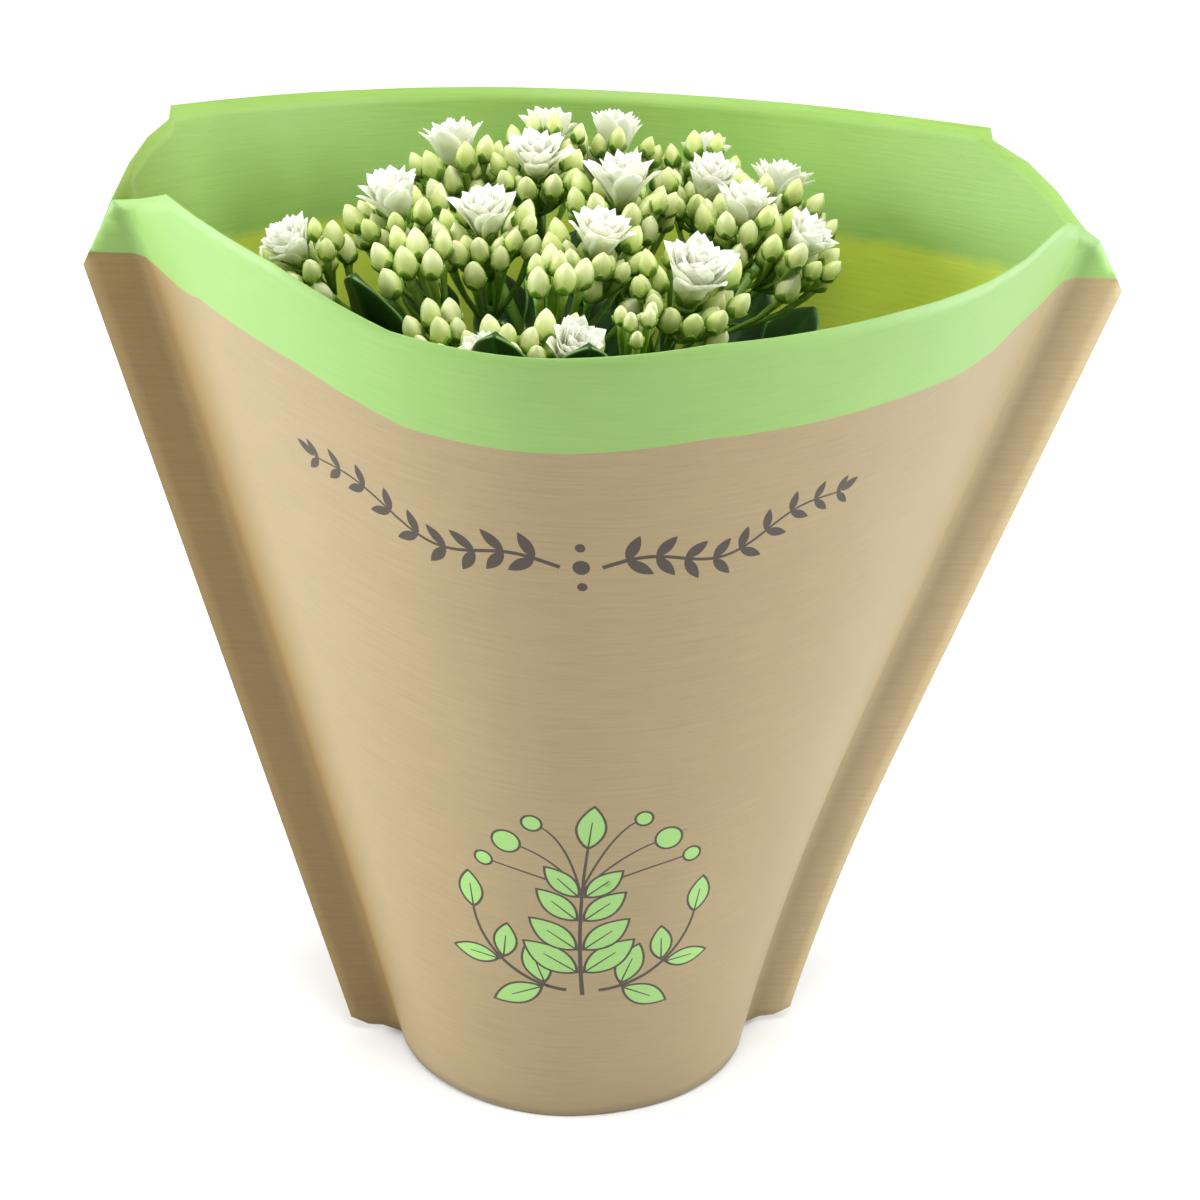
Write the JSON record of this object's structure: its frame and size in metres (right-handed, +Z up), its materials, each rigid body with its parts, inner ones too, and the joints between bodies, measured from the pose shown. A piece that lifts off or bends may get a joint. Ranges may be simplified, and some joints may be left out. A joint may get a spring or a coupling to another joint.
{
  "type": "potted flowering kalanchoe in paper sleeve",
  "caption": "A potted flowering succulent with clusters of double white flowers, pale buds and scalloped leaves, standing in a flared kraft paper plant sleeve with a green top band.",
  "frame": {"origin": "middle of the flat base of the nursery pot, on the surface that the part stands on", "axes": "+Z up along the pot's axis; the sleeve's front panel faces -Y; +X is the viewer's right"},
  "size_m": [0.2172, 0.1582, 0.214],
  "materials": {
    "kraft": "matt brown kraft paper, with a plain green band along the top edge inside and out",
    "pot": "thin dark nursery pot, satin",
    "soil": null,
    "leaf": null,
    "bud": null,
    "petal": null
  },
  "bodies": {
    "root": {"sleeve_front": "kraft", "sleeve_back": "kraft", "pot": "pot", "soil": "soil", "leafy_shoot_1": "leaf", "leafy_shoot_2": "leaf", "leafy_shoot_3": "leaf", "leafy_shoot_4": "leaf", "leafy_shoot_5": "leaf", "spray_a": "bud", "spray_b": "bud", "spray_c": "bud", "spray_d": "bud", "spray_e": "bud", "spray_f": "bud", "spray_g": "bud", "spray_h": "bud", "spray_i": "bud", "spray_j": "bud", "spray_k": "bud", "spray_l": "bud", "spray_m": "bud", "spray_n": "bud", "spray_o": "bud", "spray_p": "bud", "spray_q": "bud", "bloom_01": "petal", "bloom_02": "petal", "bloom_03": "petal", "bloom_04": "petal", "bloom_05": "petal", "bloom_06": "petal", "bloom_07": "petal", "bloom_08": "petal", "bloom_09": "petal", "bloom_10": "petal", "bloom_11": "petal", "bloom_12": "petal", "bloom_13": "petal", "bloom_14": "petal", "bloom_15": "petal", "bloom_16": "petal", "bloom_17": "petal"}
  },
  "joints": []
}
